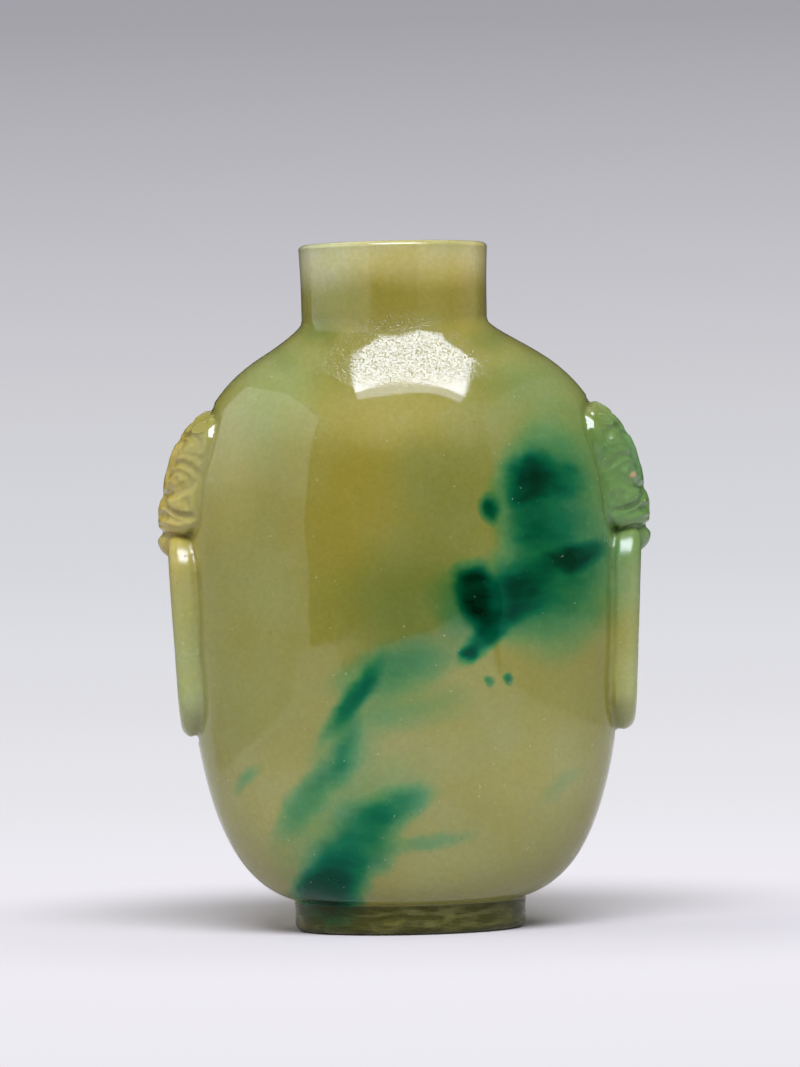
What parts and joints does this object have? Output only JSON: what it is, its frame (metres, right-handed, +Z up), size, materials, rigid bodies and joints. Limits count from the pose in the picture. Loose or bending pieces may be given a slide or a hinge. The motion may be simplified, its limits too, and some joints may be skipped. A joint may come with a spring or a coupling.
{
  "type": "snuff bottle",
  "caption": "Flattened ovoid jadeite snuff bottle with a round neck, an oval foot ring and mask-and-ring handles in relief.",
  "frame": {"origin": "middle of the base, on the plane the foot ring stands on", "axes": "+Z up through the neck, +X across the broad face towards one handle, -Y towards the front"},
  "size_m": [0.0419, 0.0212, 0.058],
  "materials": {
    "jadeite": "polished"
  },
  "bodies": {
    "root": {"bottle": "jadeite"}
  },
  "joints": []
}
